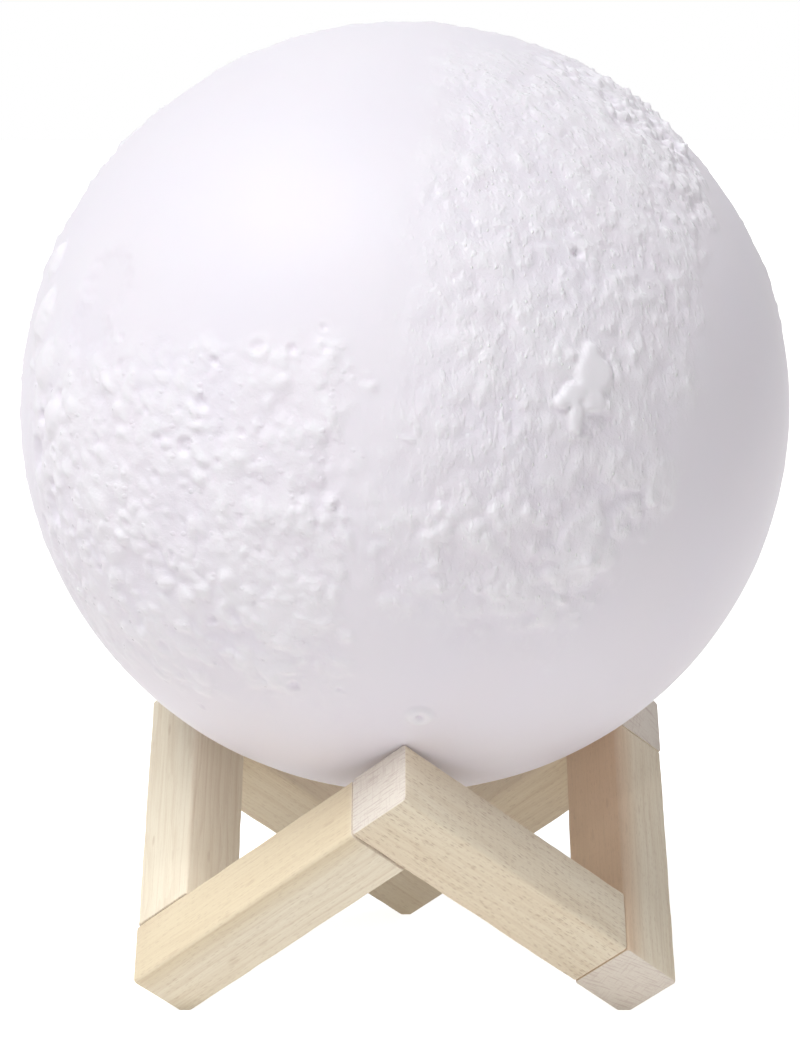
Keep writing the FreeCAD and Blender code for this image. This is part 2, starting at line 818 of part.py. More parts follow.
def battery_and_pad():
    """The battery on edge over the board, held against the deck by a pad, and its two wires."""
    pad_foot = deck_bottom - given("pad_thickness")
    keep(block("battery", given("battery_width"), given("battery_depth"), given("battery_height"),
               0, 0, battery_foot))
    margin = given("pad_margin") * 2
    keep(block("battery_pad", given("battery_width") - margin, given("battery_depth") - margin,
               given("pad_thickness"), 0, 0, pad_foot))
    half_spacing = given("battery_lead_spacing") / 2
    for name, x in (("battery_lead_red", half_spacing), ("battery_lead_black", -half_spacing)):
        body = body_of(name)
        section = sketch_on(body, "XY_Plane", name + "_section", board_top)
        draw_circle(section, given("wire_diameter"), x, 0)
        pad(body, section, battery_foot - board_top, name + "_wire")
        keep(body)


def led_post():
    """The hollow post that carries the light board at the middle of the globe."""
    label = "led_post"
    foot_radius = given("post_diameter") / 2
    wall = given("post_wall")
    plate = given("post_plate_thickness")
    body = turned(label, [
        (foot_radius - wall, deck_top),
        (given("post_flange_diameter") / 2, deck_top),
        (given("post_flange_diameter") / 2, deck_top + plate),
        (foot_radius, deck_top + plate),
        (foot_radius, post_top - plate),
        (diffuser_radius, post_top - plate),
        (diffuser_radius, ledge_level),
        (head_plate_radius, ledge_level),
        (head_plate_radius, post_top),
        (foot_radius - wall, post_top),
    ])
    places = [on_circle(post_screw_circle, angle) for angle in LIGHT_SCREW_ANGLES]
    drill(body, given("screw_diameter") + FIT_GAP, places, deck_top, plate, label + "_screw_holes")
    return keep(body)


def light_board():
    """The round metal board with its ring of light-emitting diodes."""
    label = "led_board"
    body = body_of(label)
    outline = sketch_on(body, "XY_Plane", label + "_outline", post_top)
    draw_circle(outline, light_board_radius * 2)
    pad(body, outline, given("board_thickness"), label + "_plate")
    keep(body)
    count = int(given("led_count").value)
    side = given("led_side")
    group = document.addObject("Part::Compound", "leds")
    group.Links = [
        block("led_%d" % number, side, side, given("led_height"),
              *on_circle(given("led_circle"), 360.0 * number / count), light_board_top)
        for number in range(count)
    ]
    keep(group)


def led_diffuser():
    """The frosted cap over the light board, resting on the ledge of the post's head."""
    wall = given("diffuser_wall")
    crown = ledge_level + given("diffuser_height")
    return keep(turned("led_diffuser", [
        (diffuser_bore, ledge_level),
        (diffuser_radius, ledge_level),
        (diffuser_radius, crown),
        (0, crown),
        (0, crown - wall),
        (diffuser_bore, crown - wall),
    ]))


def led_leads():
    """Two wires from the control board up through the deck and the post to the light board."""
    half_spacing = given("wire_spacing") / 2
    for name, x in (("led_lead_red", half_spacing), ("led_lead_black", -half_spacing)):
        body = body_of(name)
        section = sketch_on(body, "XY_Plane", name + "_section", board_top)
        draw_circle(section, given("wire_diameter"), x, wire_offset)
        pad(body, section, post_top - board_top, name + "_wire")
        keep(body)


screw_head_depth = given("screw_head_diameter") / 4
plunger_inside = given("plunger_inside")
plunger_foot = cover_top - given("button_flange_thickness")
post_screw_circle = given("post_diameter") + given("screw_head_diameter") + FIT_GAP * 2
wire_passage = given("wire_spacing") + given("wire_diameter") + FIT_GAP * 3

globe_shell()
base_housing()
flange_seal()
base_cover()
screws("cover_screws", screw_circle, SCREW_ANGLES, face_level + FIT_GAP,
       given("boss_height") / 2, upwards=True)
power_button()
switch_plunger()
push_switch()
main_board()
screws("board_screws", screw_circle, BOARD_SCREW_ANGLES, board_top + screw_head_depth,
       given("boss_height") / 2, upwards=False)
charging_socket()
charge_indicator()
board_components()
battery_and_pad()
led_post()
screws("post_screws", post_screw_circle, LIGHT_SCREW_ANGLES,
       deck_top + given("post_plate_thickness") + screw_head_depth,
       given("post_plate_thickness") + given("housing_wall"), upwards=False)
light_board()
led_diffuser()
led_leads()


# ---------------------------------------------------------------- checks and export

document.recompute()
for item in document.Objects:
    if {"Invalid", "Error"} & set(item.State):
        raise RuntimeError("%s failed: %s" % (item.Label, item.State))
os.makedirs("parts", exist_ok=True)
for piece in pieces:
    if piece.Shape.isNull() or not piece.Shape.isValid():
        raise RuntimeError("%s has no valid shape" % piece.Label)
    box = piece.Shape.BoundBox
    print("%-24s solids %d  volume %9.1f  z %7.2f to %7.2f"
          % (piece.Label, len(piece.Shape.Solids), piece.Shape.Volume, box.ZMin, box.ZMax))
    piece.Shape.exportStep("parts/%s.step" % piece.Label)
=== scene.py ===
# Moon lamp: a moulded moon globe on a cradle of six beech bars.
# Metres in the row frame: +Z up, the front is -Y, the origin is on the ground under the globe.
# Relief is written in millimetres of height, at an azimuth and a latitude of the globe in degrees.
import itertools
import json
import math

import bmesh
import bpy
import numpy as np
from mathutils import Matrix, Vector


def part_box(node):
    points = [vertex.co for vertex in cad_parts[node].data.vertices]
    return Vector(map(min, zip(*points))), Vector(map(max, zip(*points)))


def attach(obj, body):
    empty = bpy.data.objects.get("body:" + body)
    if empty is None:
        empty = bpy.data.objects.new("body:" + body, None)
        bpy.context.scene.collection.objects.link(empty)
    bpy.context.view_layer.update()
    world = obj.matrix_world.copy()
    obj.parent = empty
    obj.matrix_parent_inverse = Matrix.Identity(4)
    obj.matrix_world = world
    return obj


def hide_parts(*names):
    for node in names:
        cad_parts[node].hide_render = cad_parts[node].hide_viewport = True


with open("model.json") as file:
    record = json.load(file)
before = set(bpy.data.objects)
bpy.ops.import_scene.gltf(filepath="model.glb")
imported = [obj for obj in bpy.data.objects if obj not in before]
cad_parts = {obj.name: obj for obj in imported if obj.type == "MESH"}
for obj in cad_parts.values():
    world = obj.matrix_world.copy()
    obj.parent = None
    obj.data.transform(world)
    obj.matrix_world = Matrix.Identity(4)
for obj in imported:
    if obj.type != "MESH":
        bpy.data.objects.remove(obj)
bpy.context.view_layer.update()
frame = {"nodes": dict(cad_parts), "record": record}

MM = 0.001
GLOBE_RADIUS_MM = 75.0
SHELL_WALL_MM = 2.0
BAR_WIDTH = 14 * MM
BAR_LENGTH = 60 * MM
LONG_EDGE_ROUND = 0.75 * MM
END_EDGE_ROUND = 0.3 * MM
GLUE_GAP = 0.20 * MM
FOOT_FLAT_DEPTH = 1.2 * MM
CUBE_SIDE = BAR_WIDTH + BAR_LENGTH

globe_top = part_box("globe_shell")[1].z
globe_centre = Vector((0.0, 0.0, globe_top - GLOBE_RADIUS_MM * MM))


# ---------------------------------------------------------------- material graphs


class Graph:
    """The node graph of a material or a world, built from the texture end towards the shader."""

    def __init__(self, owner):
        owner.use_nodes = True
        self.owner = owner
        self.tree = owner.node_tree
        self.tree.nodes.clear()

    def add(self, kind, inputs=None, **settings):
        node = self.tree.nodes.new("ShaderNode" + kind)
        for key, value in settings.items():
            setattr(node, key, value)
        for key, value in (inputs or {}).items():
            if isinstance(value, bpy.types.NodeSocket):
                self.tree.links.new(value, node.inputs[key])
            else:
                node.inputs[key].default_value = value
        return node

    def place(self, scale=(1, 1, 1), shift=(0, 0, 0), turn=(0, 0, 0)):
        """The piece's own coordinates in millimetres, turned and then stretched."""
        own = self.add("TexCoord").outputs["Object"]
        turned = self.add("Mapping", {"Vector": own, "Rotation": turn}).outputs[0]
        stretch = [factor / MM for factor in scale]
        return self.add("Mapping", {"Vector": turned, "Scale": stretch, "Location": shift}).outputs[0]

    def noise(self, where, scale=1.0, detail=2.0, roughness=0.5):
        return self.add("TexNoise", {"Vector": where, "Scale": scale, "Detail": detail,
                                     "Roughness": roughness}).outputs["Fac"]

    def marks(self, where, reach, share):
        """Separate soft spots, one to a cell: reach is their size in cells, share how many show."""
        cells = self.add("TexVoronoi", {"Vector": where, "Scale": 1.0, "Randomness": 1.0}).outputs
        shown = self.spread(self.add("SeparateColor", {0: cells["Color"]}).outputs[0],
                            1 - share, 1.15 - share)
        return self.times(self.spread(cells["Distance"], reach, reach * 0.35), shown)

    def math(self, operation, first, second=0.0):
        return self.add("Math", {0: first, 1: second}, operation=operation).outputs[0]

    def times(self, first, second):
        return self.math("MULTIPLY", first, second)

    def larger(self, first, second):
        return self.math("MAXIMUM", first, second)

    def spread(self, value, low, high, start=0.0, end=1.0):
        """Carries a value from one range to another, with soft ends."""
        return self.add("MapRange", {"Value": value, "From Min": low, "From Max": high,
                                     "To Min": start, "To Max": end},
                        interpolation_type="SMOOTHSTEP").outputs[0]

    def mix(self, share, first, second, blend="MIX"):
        node = self.add("Mix", data_type="RGBA", blend_type=blend)
        for index, value in ((0, share), (6, first), (7, second)):
            if isinstance(value, bpy.types.NodeSocket):
                self.tree.links.new(value, node.inputs[index])
            else:
                node.inputs[index].default_value = value if index == 0 else (*value[:3], 1.0)
        return node.outputs[2]

    def attribute(self, name):
        return self.add("Attribute", attribute_name=name).outputs["Fac"]

    def bump(self, height, depth_mm, before=None):
        inputs = {"Height": height, "Distance": depth_mm * MM, "Strength": 1.0}
        if before is not None:
            inputs["Normal"] = before
        return self.add("Bump", inputs).outputs[0]

    def shown_rays(self):
        """1 for the rays that show a thing to the eye, straight or by gloss or glass, else 0."""
        rays = self.add("LightPath").outputs
        return self.larger(self.larger(rays["Is Camera Ray"], rays["Is Glossy Ray"]),
                           rays["Is Transmission Ray"])

    def finish(self, **inputs):
        """Ends the graph in a Principled shader; underscores in the names stand for spaces."""
        named = {key.replace("_", " "): value for key, value in inputs.items()}
        colour = named["Base Color"]
        if not isinstance(colour, bpy.types.NodeSocket):
            named["Base Color"] = (*colour[:3], 1.0)
        shader = self.add("BsdfPrincipled", named)
        self.add("OutputMaterial", {"Surface": shader.outputs[0]})
        return self.owner


def material_graph(name):
    return Graph(bpy.data.materials.new(name))


# ---------------------------------------------------------------- wood

BEECH_PALE = (0.95, 0.87, 0.70)
BEECH_WARM = (0.87, 0.74, 0.54)
BEECH_LINE = (0.62, 0.455, 0.30)
BEECH_HEART = (0.78, 0.57, 0.385)
BEECH_GOLD = (0.80, 0.67, 0.455)
BEECH_FLECK = (0.50, 0.34, 0.22)
BEECH_END = (0.87, 0.80, 0.72)
BEECH_END_LINE = (0.58, 0.45, 0.42)
RING_SPACING_MM = 2.3
RING_WAVER_MM = 1.6
HEART_FROM_MM, HEART_TO_MM = 0.5, 6.8


def beech(name, ring_angle, pith_mm, shift, warmth, pores, heart, heart_side=(0, 1, 0),
          heart_colour=BEECH_HEART):
    """Planed beech. X runs along the grain; the pith lies pith_mm away, at ring_angle about X.

    warmth goes from pale sapwood at 0 to warm wood at 1, pores is how strongly the fine pore lines
    show, and heart is how much of the heart colour the wood has at its face on the heart side.
    shift moves the grain, so that no two bars have the same.
    """
    graph = material_graph(name)
    turn = (math.radians(ring_angle), 0, 0)
    drift = (shift, shift * 0.7, shift * 0.3)

    def grain(along, across, radial):
        """Coordinates for marks of these sizes in millimetres along, across and out from the pith."""
        return graph.place((1 / along, 1 / across, 1 / radial), drift, turn)

    section = graph.add("SeparateXYZ", {0: graph.place(turn=turn)}).outputs
    depth = graph.math("ADD", section[2], pith_mm)
    waver = graph.spread(graph.noise(grain(38, 9, 9), detail=3), 0.2, 0.8,
                         -RING_WAVER_MM, RING_WAVER_MM)
    reach = graph.math("SQRT", graph.math("ADD", graph.times(depth, depth),
                                          graph.times(section[1], section[1])))
    rings = graph.math("DIVIDE", graph.math("ADD", reach, waver), RING_SPACING_MM)
    year = graph.math("FRACT", rings)
    late_wood = graph.times(graph.spread(year, 0.45, 0.92), graph.spread(year, 1.0, 0.95))

    tone = graph.noise(grain(70, 11, 11), detail=2)
    fibre = graph.noise(grain(22, 0.45, 0.45), detail=4, roughness=0.62)
    pore_lines = graph.marks(grain(2.0, 0.34, 0.34), 0.42, 0.62)
    short_pores = graph.marks(grain(1.0, 0.22, 0.22), 0.40, 0.55)
    flecks = graph.marks(grain(7.0, 1.9, 1.9), 0.30, 0.30)

    towards_heart = graph.add("VectorMath", {0: graph.place(), 1: heart_side},
                              operation="DOT_PRODUCT").outputs["Value"]
    heart_share = graph.spread(towards_heart, HEART_FROM_MM, HEART_TO_MM, 0.0, heart)

    coolest, warmest = max(0.0, warmth - 0.22), min(1.0, warmth + 0.22)
    colour = graph.mix(graph.spread(tone, 0.25, 0.75, coolest, warmest), BEECH_PALE, BEECH_WARM)
    colour = graph.mix(heart_share, colour, heart_colour)
    colour = graph.mix(graph.times(late_wood, 0.16), colour, BEECH_LINE)
    colour = graph.mix(graph.spread(fibre, 0.40, 0.78, 0.0, 0.32), colour, BEECH_LINE)
    colour = graph.mix(graph.times(pore_lines, 0.55 * pores), colour, BEECH_FLECK)
    colour = graph.mix(graph.times(short_pores, 0.35 * pores), colour, BEECH_FLECK)
    colour = graph.mix(graph.times(flecks, 0.26), colour, BEECH_FLECK)

    facing = graph.add("SeparateXYZ", {0: graph.add("TexCoord").outputs["Normal"]}).outputs[0]
    end_grain = graph.spread(graph.math("ABSOLUTE", facing), 0.80, 0.97)
    ray_lines = graph.noise(grain(6, 0.42, 5.0), detail=2, roughness=0.6)
    ring_lines = graph.noise(grain(6, 5.0, 0.45), detail=2, roughness=0.6)
    end_dots = graph.marks(grain(6, 0.45, 0.45), 0.5, 0.5)
    end_colour = graph.mix(graph.spread(ray_lines, 0.50, 0.66, 0.0, 0.55), BEECH_END, BEECH_END_LINE)
    end_colour = graph.mix(graph.spread(ring_lines, 0.52, 0.68, 0.0, 0.32), end_colour, BEECH_END_LINE)
    end_colour = graph.mix(graph.times(end_dots, 0.22), end_colour, BEECH_END_LINE)
    colour = graph.mix(end_grain, colour, end_colour)

    worn = graph.spread(graph.attribute("edge"), 0.0, 1.0)
    colour = graph.mix(graph.times(worn, 0.30), colour, BEECH_PALE)

    fuzz = graph.noise(grain(1.2, 0.12, 0.12), detail=2)
    normal = graph.bump(fibre, 0.03)
    cuts = graph.larger(graph.times(pore_lines, pores), graph.times(flecks, 0.4))
    normal = graph.bump(graph.math("SUBTRACT", 1.0, cuts), 0.05, normal)
    normal = graph.bump(fuzz, 0.015, normal)
    roughness = graph.spread(fibre, 0.3, 0.8, 0.52, 0.68)
    return graph.finish(Base_Color=colour, Roughness=roughness, Normal=normal,
                        Specular_IOR_Level=0.30)


CUBE_U = Vector((math.sqrt(0.5), -math.sqrt(1 / 6), 1 / math.sqrt(3)))
CUBE_V = Vector((-math.sqrt(0.5), -math.sqrt(1 / 6), 1 / math.sqrt(3)))
CUBE_W = Vector((0.0, math.sqrt(2 / 3), 1 / math.sqrt(3)))

# The lowest corner of the cube that the bars run round; the bars' feet are cut flat at the ground.
LOWEST_CORNER = Vector((0.0, 0.0, -(BAR_LENGTH / math.sqrt(3) + FOOT_FLAT_DEPTH)))

# Slices along a bar, so that its edges can waver; the long edges are worn down over EDGE_BAND.
BAR_SLICES = 40
EDGE_BAND = LONG_EDGE_ROUND * 1.6
EDGE_WEAR = 0.05 * MM
EDGE_RIPPLE = 0.08 * MM
RIPPLE_WAVE = 5 * MM

# Each bar's wood, in the order in which the bars follow one another round the cradle.
BAR_WOOD = {
    "stand_bar_front_left": dict(ring_angle=10, pith_mm=44, shift=11.0, warmth=0.10, pores=0.50,
                                 heart=0.85, heart_side=(0, 0, -1), heart_colour=BEECH_GOLD),
    "stand_bar_front_right": dict(ring_angle=90, pith_mm=38, shift=37.0, warmth=0.45, pores=1.0,
                                  heart=0.05),
    "stand_bar_right": dict(ring_angle=75, pith_mm=52, shift=71.0, warmth=0.35, pores=0.40,
                            heart=0.95),
    "stand_bar_back_right": dict(ring_angle=15, pith_mm=60, shift=93.0, warmth=0.65, pores=0.50,
                                 heart=0.15),
    "stand_bar_back_left": dict(ring_angle=40, pith_mm=48, shift=121.0, warmth=0.65, pores=0.50,
                                heart=0.10),
    "stand_bar_left": dict(ring_angle=75, pith_mm=55, shift=157.0, warmth=0.05, pores=0.15,
                           heart=0.0),
}


def cube_point(u, v, w):
    return LOWEST_CORNER + CUBE_U * u + CUBE_V * v + CUBE_W * w


def cut_across(solid, point, normal, clear=False):
    everything = list(solid.verts) + list(solid.edges) + list(solid.faces)
    return bmesh.ops.bisect_plane(solid, geom=everything, plane_co=point, plane_no=normal,
                                  clear_outer=clear)


def planed_bar(name, matrix, rng):
    """A square bar along X, with eased long edges and crisper ends, cut off level with the ground."""
    length = BAR_LENGTH - GLUE_GAP
    solid = bmesh.new()
    bmesh.ops.create_cube(solid, size=1.0)
    bmesh.ops.scale(solid, vec=(length, BAR_WIDTH, BAR_WIDTH), verts=solid.verts)
    bmesh.ops.translate(solid, vec=(GLUE_GAP + length / 2, 0, 0), verts=solid.verts)
    long_edges = [edge for edge in solid.edges
                  if abs(edge.verts[0].co.x - edge.verts[1].co.x) > length / 2]
    bmesh.ops.bevel(solid, geom=long_edges, offset=LONG_EDGE_ROUND, segments=4, profile=0.5,
                    affect="EDGES")
    end_edges = [edge for edge in solid.edges
                 if abs(edge.verts[0].co.x - edge.verts[1].co.x) < length / 2]
    bmesh.ops.bevel(solid, geom=end_edges, offset=END_EDGE_ROUND, segments=2, profile=0.5,
                    affect="EDGES")
    for step in range(1, BAR_SLICES):
        cut_across(solid, (GLUE_GAP + length * step / BAR_SLICES, 0, 0), (1, 0, 0))
    waviness = Noise(int(rng.integers(1 << 30)))
    half = BAR_WIDTH / 2
    for vertex in solid.verts:
        rim = min(abs(vertex.co.y), abs(vertex.co.z))
        near_edge = max(0.0, rim - (half - EDGE_BAND)) / EDGE_BAND
        ripple = float(waviness(np.array([vertex.co]) / RIPPLE_WAVE)[0])
        sunk = near_edge * (EDGE_WEAR + EDGE_RIPPLE * ripple)
        vertex.co.y -= math.copysign(sunk, vertex.co.y)
        vertex.co.z -= math.copysign(sunk, vertex.co.z)
    down = matrix.to_3x3().inverted() @ Vector((0, 0, -1))
    cut = cut_across(solid, matrix.inverted() @ Vector((0, 0, 0)), down, clear=True)
    rim_edges = [item for item in cut["geom_cut"] if isinstance(item, bmesh.types.BMEdge)]
    if rim_edges:
        bmesh.ops.holes_fill(solid, edges=rim_edges)
    bmesh.ops.recalc_face_normals(solid, faces=solid.faces)
    mesh = bpy.data.meshes.new(name)
    solid.to_mesh(mesh)
    solid.free()
    edge = mesh.attributes.new("edge", "FLOAT", "POINT")
    for vertex in mesh.vertices:
        sides = sorted((half - abs(vertex.co.y), half - abs(vertex.co.z),
                        min(vertex.co.x, BAR_LENGTH - vertex.co.x)))
        edge.data[vertex.index].value = max(0.0, 1.0 - (sides[0] + sides[1]) / EDGE_BAND)
    mesh.shade_smooth()
    mesh.set_sharp_from_angle(angle=math.radians(35))
    piece = bpy.data.objects.new(name, mesh)
    bpy.context.scene.collection.objects.link(piece)
    piece.matrix_world = matrix
    return piece


def bar_matrix(start, along, facing):
    """A bar's place: X along it from its butt end, Y towards the bar that it meets at its far end."""
    across = along.cross(facing)
    turn = Matrix((along, facing, across)).transposed().to_4x4()
    return Matrix.Translation(cube_point(*start)) @ turn


def cradle():
    """Each pair of bars is the last one turned by a third about the vertical axis."""
    half = BAR_WIDTH / 2
    low = (BAR_LENGTH, CUBE_SIDE - half, half)
    high = (CUBE_SIDE - half, BAR_WIDTH, half)
    edges = (CUBE_U, CUBE_V, CUBE_W)
    rng = np.random.default_rng(41)
    names = list(BAR_WOOD)
    for low_name, high_name in zip(names[::2], names[1::2]):
        u, v, w = edges
        for node, matrix in ((low_name, bar_matrix(low, -u, w)), (high_name, bar_matrix(high, v, -u))):
            piece = planed_bar(node + "_planed", matrix, rng)
            piece.data.materials.append(beech(node + "_beech", **BAR_WOOD[node]))
            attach(piece, "stand")
            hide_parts(node)
        low = (low[1], low[2], low[0])
        high = (high[1], high[2], high[0])
        edges = (edges[2], edges[0], edges[1])


# ---------------------------------------------------------------- noise


class Noise:
    """Smooth seeded noise in space, from about -1 to 1, one unit to a wave."""

    def __init__(self, seed):
        rng = np.random.default_rng(seed)
        self.order = np.tile(rng.permutation(256), 3)
        slopes = rng.normal(size=(256, 3))
        self.slopes = slopes / np.linalg.norm(slopes, axis=1, keepdims=True)

    def __call__(self, points):
        cell = np.floor(points).astype(int)
        inside = points - cell
        cell &= 255
        fade = inside ** 3 * (inside * (inside * 6 - 15) + 10)
        total = np.zeros(len(points))
        for corner in itertools.product((0, 1), repeat=3):
            step = np.array(corner)
            key = self.order[cell[:, 0] + step[0]]
            key = self.order[key + cell[:, 1] + step[1]]
            key = self.order[key + cell[:, 2] + step[2]]
            share = np.prod(np.where(step, fade, 1 - fade), axis=1)
            total += share * np.einsum("ij,ij->i", self.slopes[key], inside - step)
        return total * 1.7


def layered(seed, points, wave, octaves, gain=0.5):
    """Noise of several sizes, the largest one wave long."""
    total, weight = 0.0, 1.0
    for octave in range(octaves):
        total = total + Noise(seed + octave)(points * (2 ** octave / wave)) * weight
        weight *= gain
    return total


def pebbles(seed, points):
    """Rounded lumps, one to a unit cell: their height from 0 to 1, each with a height of its own."""
    rng = np.random.default_rng(seed)
    order = np.tile(rng.permutation(256), 3)
    middles, shares = rng.uniform(0, 1, (256, 3)), rng.uniform(0.15, 1, 256)
    cell = np.floor(points).astype(int)
    inside = points - cell
    nearest, share = np.full(len(points), 9.0), np.zeros(len(points))
    for corner in itertools.product((-1, 0, 1), repeat=3):
        beside = (cell + np.array(corner)) & 255
        key = order[order[order[beside[:, 0]] + beside[:, 1]] + beside[:, 2]]
        away = np.linalg.norm(middles[key] + np.array(corner) - inside, axis=1)
        share = np.where(away < nearest, shares[key], share)
        nearest = np.minimum(nearest, away)
    return share * (1 - smooth(0.05, 0.70, nearest))


def smooth(low, high, value):
    """0 up to the low value, 1 from the high value on, and a soft step between them."""
    share = np.clip((value - low) / (high - low), 0, 1)
    return share * share * (3 - 2 * share)


def between(start, full, fading, end, value):
    """0 before the start and after the end, 1 from full to fading, and soft steps between."""
    return smooth(start, full, value) * (1 - smooth(fading, end, value))


# ---------------------------------------------------------------- relief of the globe


def heading(azimuth, latitude):
    """The unit vector out from the centre at an azimuth and a latitude in degrees."""
    turn, tilt = math.radians(azimuth), math.radians(latitude)
    return np.array((math.cos(tilt) * math.cos(turn), math.cos(tilt) * math.sin(turn),
                     math.sin(tilt)))


# Points round the globe in each ring, and rings from the top down to the rim of the opening.
AROUND = 900
DOWN = 450


class Surface:
    """The globe's outside: rings of points from the top down to the rim of the opening."""

    def __init__(self, last_tilt):
        self.step = last_tilt / DOWN
        tilts = np.arange(1, DOWN + 1) * self.step
        turns = np.arange(AROUND) * 2 * math.pi / AROUND
        rings = np.stack([np.outer(np.sin(tilts), np.cos(turns)),
                          np.outer(np.sin(tilts), np.sin(turns)),
                          np.outer(np.cos(tilts), np.ones(AROUND))], axis=2)
        self.directions = rings.reshape(-1, 3)
        self.points = self.directions * GLOBE_RADIUS_MM
        self.from_rim = (last_tilt - np.repeat(tilts, AROUND)) * GLOBE_RADIUS_MM
        self.height = np.zeros(len(self.points))
        self.plain = np.ones(len(self.points))
        self.crumple = layered(51, self.points, 2.2, 2)

    def near(self, azimuth, latitude, reach):
        """The indices of the points within reach, in millimetres, of a point of the globe."""
        angle = reach / GLOBE_RADIUS_MM
        tilt = math.radians(90 - latitude)
        rows = np.arange(max(0, int((tilt - angle) / self.step) - 1),
                         min(DOWN, int((tilt + angle) / self.step) + 1))
        narrowest = min(math.sin(max(tilt - angle, 0.0)), math.sin(min(tilt + angle, math.pi)))
        columns = np.arange(AROUND)
        if narrowest > angle:
            half = int(AROUND * angle / narrowest / (2 * math.pi)) + 2
            middle = int(round(azimuth / 360 * AROUND))
            columns = np.arange(middle - half, middle + half + 1) % AROUND
        spots = (rows[:, None] * AROUND + columns[None, :]).ravel()
        return spots[self.directions[spots] @ heading(azimuth, latitude) > math.cos(angle)]

    def around(self, spots, azimuth, latitude, turn=0.0):
        """Millimetres right of and above a point of the globe, on axes turned clockwise."""
        up = heading(azimuth, latitude)
        east = np.array((-math.sin(math.radians(azimuth)), math.cos(math.radians(azimuth)), 0.0))
        north = np.cross(up, east)
        right, above = self.points[spots] @ east, self.points[spots] @ north
        angle = math.radians(turn)
        return (right * math.cos(angle) - above * math.sin(angle),
                right * math.sin(angle) + above * math.cos(angle))


# Azimuth, latitude, half width, half height, turn, rise, and the share of it that is edge
HILLS = (
    (-66.4, 13.2, 1.4, 1.2, 10, 0.50, 0.7),
    (-61.3, 6.2, 0.6, 2.2, 0, 0.55, 0.7),
    (-65.4, 1.9, 2.6, 0.6, -6, 0.45, 0.8),
    (-59.2, 10.3, 1.2, 2.2, 0, 0.40, 0.8),
    (-54.7, 14.6, 1.0, 2.6, 0, 0.50, 0.8),
    (-56.4, 12.6, 1.0, 2.2, 0, 0.40, 0.8),
    (-69.6, 12.0, 2.2, 1.4, 0, 0.25, 0.8),
    (-160.5, 15.0, 0.9, 8.0, 12, 0.45, 0.8),
    (-52.6, 33.7, 1.2, 1.9, 40, 0.25, 0.7),
    (-55.2, 31.8, 2.0, 1.2, 18, 0.25, 0.7),
    (-58.7, -5.1, 1.1, 1.2, 0, 0.55, 0.8),
    (-57.8, -8.0, 0.7, 0.9, 12, 0.35, 0.8),
    (-79.8, -19.3, 0.8, 0.8, 0, 0.55, 0.8),
    (-77.6, -17.0, 0.8, 2.2, 28, 0.50, 0.8),
    (-89.6, 2.4, 2.0, 0.6, 12, 0.40, 0.8),
    (-88.4, 3.4, 0.6, 1.3, 25, 0.40, 0.8),
    (-67.5, 28.6, 1.0, 0.7, 10, 0.35, 0.8),
    (-61.8, 30.2, 1.5, 0.8, -10, 0.36, 0.8),
    (-119.6, 5.4, 2.2, 1.2, 15, 0.45, 0.8),
    (-118.6, -1.4, 1.8, 1.2, 10, 0.40, 0.8),
    (-124.9, 0.4, 1.7, 1.3, 0, 0.60, 0.8),
    (-103.0, -20.6, 1.2, 1.6, 0, 0.40, 0.8),
)

# Azimuth, latitude, radius, depth and height of the rim. The last six are round the back.
CRATERS = (
    (-64.6, 6.6, 0.9, 0.45, 0.05),
    (-62.4, 27.4, 1.3, 0.50, 0.20),
    (-124.9, -10.8, 5.2, 0.30, 0.10),
    (-103.8, -16.0, 5.0, 0.30, 0.10),
    (-111.0, 14.4, 1.8, 0.40, 0.16),
    (-106.0, 14.2, 1.3, 0.38, 0.16),
    (-101.6, 17.4, 0.9, 0.34, 0.12),
    (-101.4, 14.6, 1.0, 0.34, 0.12),
    (-117.8, 12.4, 1.2, 0.34, 0.10),
    (-135.3, 14.6, 1.0, 0.36, 0.06),
    (-128.6, 4.9, 1.1, 0.40, 0.10),
    (-126.6, 1.2, 1.2, 0.36, 0.10),
    (-138.8, -0.4, 1.8, 0.45, 0.08),
    (-99.4, -6.9, 1.2, 0.36, 0.08),
    (-125.8, -15.6, 1.4, 0.40, 0.10),
    (-133.7, -11.3, 1.2, 0.36, 0.08),
    (-113.3, -9.3, 1.4, 0.34, 0.08),
    (-112.7, 2.8, 1.3, 0.34, 0.08),
    (-152.4, -7.9, 1.6, 0.55, 0.08),
    (70.0, 25.0, 12.0, 0.85, 0.30),
    (115.0, -12.0, 7.0, 0.70, 0.25),
    (35.0, -8.0, 5.0, 0.50, 0.20),
    (150.0, 30.0, 6.0, 0.50, 0.20),
    (95.0, 55.0, 4.0, 0.40, 0.15),
    (14.0, 24.0, 4.5, 0.35, 0.15),
)

# Broad masses, and floors where the rise is negative: the rise, the share of each lobe that is edge,
# and the lobes that run together, each with its azimuth, latitude, half width, half height and turn.
MASSES = (
    (1.00, 0.45, ((-63.4, 10.6, 3.7, 5.2, 8), (-63.2, 13.6, 1.8, 2.1, 0), (-61.9, 10.4, 2.5, 3.3, 0),
                  (-66.5, 8.0, 3.2, 2.5, -30), (-68.3, 6.9, 1.8, 1.5, 0), (-66.3, 4.9, 1.7, 3.3, 0),
                  (-63.6, 6.7, 2.9, 2.4, 0))),
    (1.20, 0.70, ((-164.0, 24.0, 2.8, 5.0, 0), (-160.0, 16.0, 4.4, 6.5, 8), (-155.5, 9.0, 4.4, 6.0, 12),
                  (-151.0, 2.0, 3.6, 5.0, 14), (-147.5, -4.0, 2.2, 3.0, 14))),
    (-0.60, 0.60, ((-142.0, 22.0, 8.5, 9.0, 0), (-143.5, 15.0, 9.0, 6.0, 6))),
    (-1.10, 0.85, ((-158.0, -4.0, 3.2, 5.0, 14), (-154.0, -12.0, 3.0, 4.5, 16))),
)

